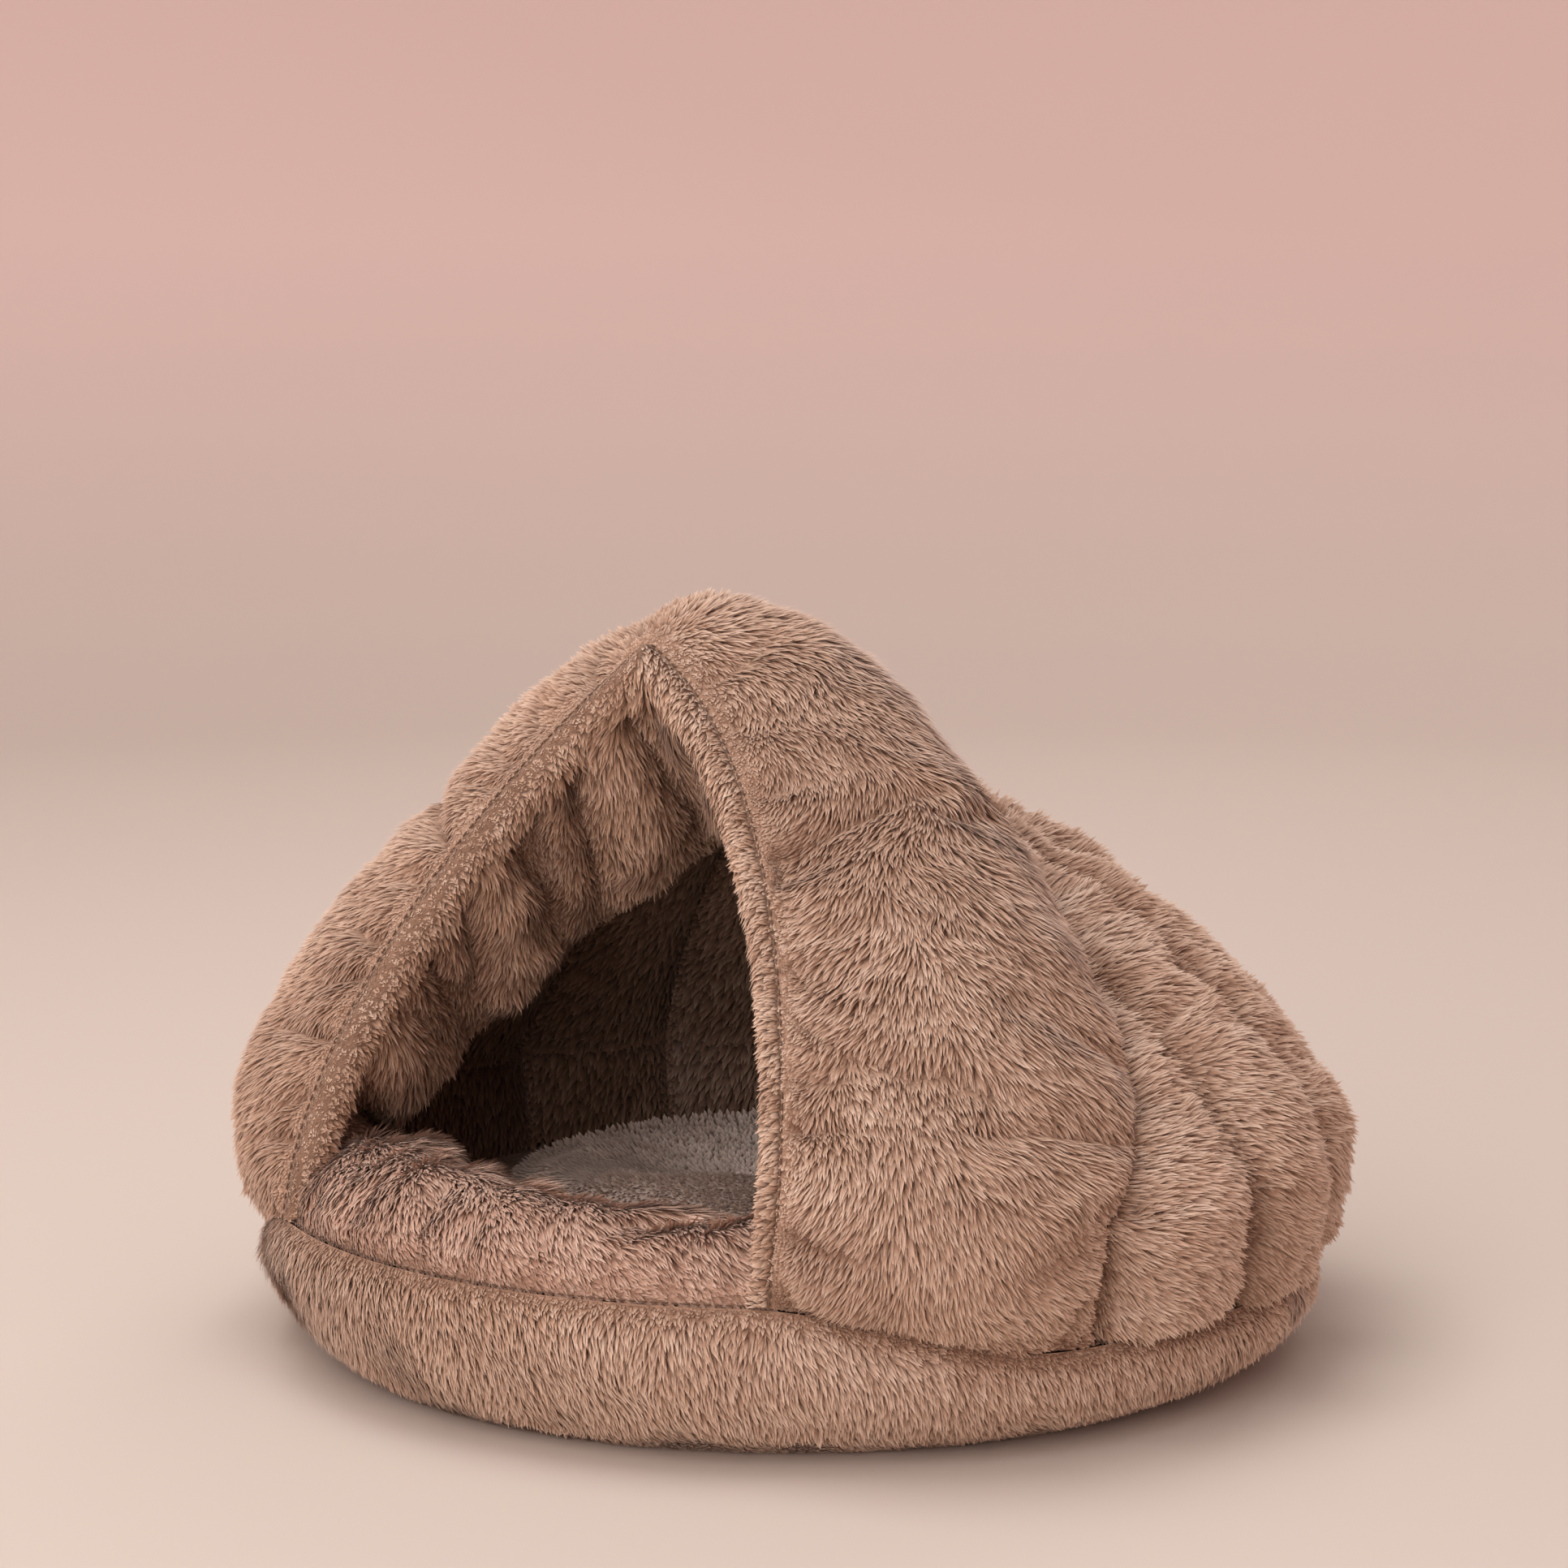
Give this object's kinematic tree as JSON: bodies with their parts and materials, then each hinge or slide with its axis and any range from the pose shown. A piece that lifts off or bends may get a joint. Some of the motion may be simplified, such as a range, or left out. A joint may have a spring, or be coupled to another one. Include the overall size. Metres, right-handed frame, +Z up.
{
  "type": "pet cushion bed",
  "caption": "Round hooded pet cave in long plush with a padded triangular entrance, stuffed gores, a soft sill and a loose cushion.",
  "frame": {"origin": "middle of the underside of the round base, on the floor", "axes": "+Z up; the entrance faces -Y; X runs from side to side and the bed is symmetric about x = 0"},
  "size_m": [0.4694, 0.4629, 0.314],
  "materials": {
    "long_plush": "matte",
    "plush_lining": "matte",
    "cushion_plush": "matte",
    "fibre_stuffing": "matte",
    "foam": "matte",
    "non_slip_sheet": "matte"
  },
  "bodies": {
    "bed": {"base_sheet": "non_slip_sheet", "base_band": "long_plush", "base_foam": "foam", "floor_cover": "plush_lining", "sill_cover": "long_plush", "sill_stuffing": "fibre_stuffing", "arch_cover": "long_plush", "arch_stuffing": "fibre_stuffing", "arch_lining": "plush_lining", "gore_cover_right_1": "long_plush", "gore_cover_right_2": "long_plush", "gore_cover_right_3": "long_plush", "gore_cover_right_4": "long_plush", "gore_cover_right_5": "long_plush", "gore_cover_rear": "long_plush", "gore_cover_left_5": "long_plush", "gore_cover_left_4": "long_plush", "gore_cover_left_3": "long_plush", "gore_cover_left_2": "long_plush", "gore_cover_left_1": "long_plush", "gore_stuffing_right_1": "fibre_stuffing", "gore_stuffing_right_2": "fibre_stuffing", "gore_stuffing_right_3": "fibre_stuffing", "gore_stuffing_right_4": "fibre_stuffing", "gore_stuffing_right_5": "fibre_stuffing", "gore_stuffing_rear": "fibre_stuffing", "gore_stuffing_left_5": "fibre_stuffing", "gore_stuffing_left_4": "fibre_stuffing", "gore_stuffing_left_3": "fibre_stuffing", "gore_stuffing_left_2": "fibre_stuffing", "gore_stuffing_left_1": "fibre_stuffing", "gore_lining_right_1": "plush_lining", "gore_lining_right_2": "plush_lining", "gore_lining_right_3": "plush_lining", "gore_lining_right_4": "plush_lining", "gore_lining_right_5": "plush_lining", "gore_lining_rear": "plush_lining", "gore_lining_left_5": "plush_lining", "gore_lining_left_4": "plush_lining", "gore_lining_left_3": "plush_lining", "gore_lining_left_2": "plush_lining", "gore_lining_left_1": "plush_lining"},
    "cushion": {"cushion_top": "cushion_plush", "cushion_underside": "cushion_plush", "cushion_filling": "fibre_stuffing"}
  },
  "joints": [
    {"name": "cushion_lift", "type": "slide", "parent": "bed", "child": "cushion", "axis": [0, 0, 1], "range_m": [0, 0.03]}
  ]
}
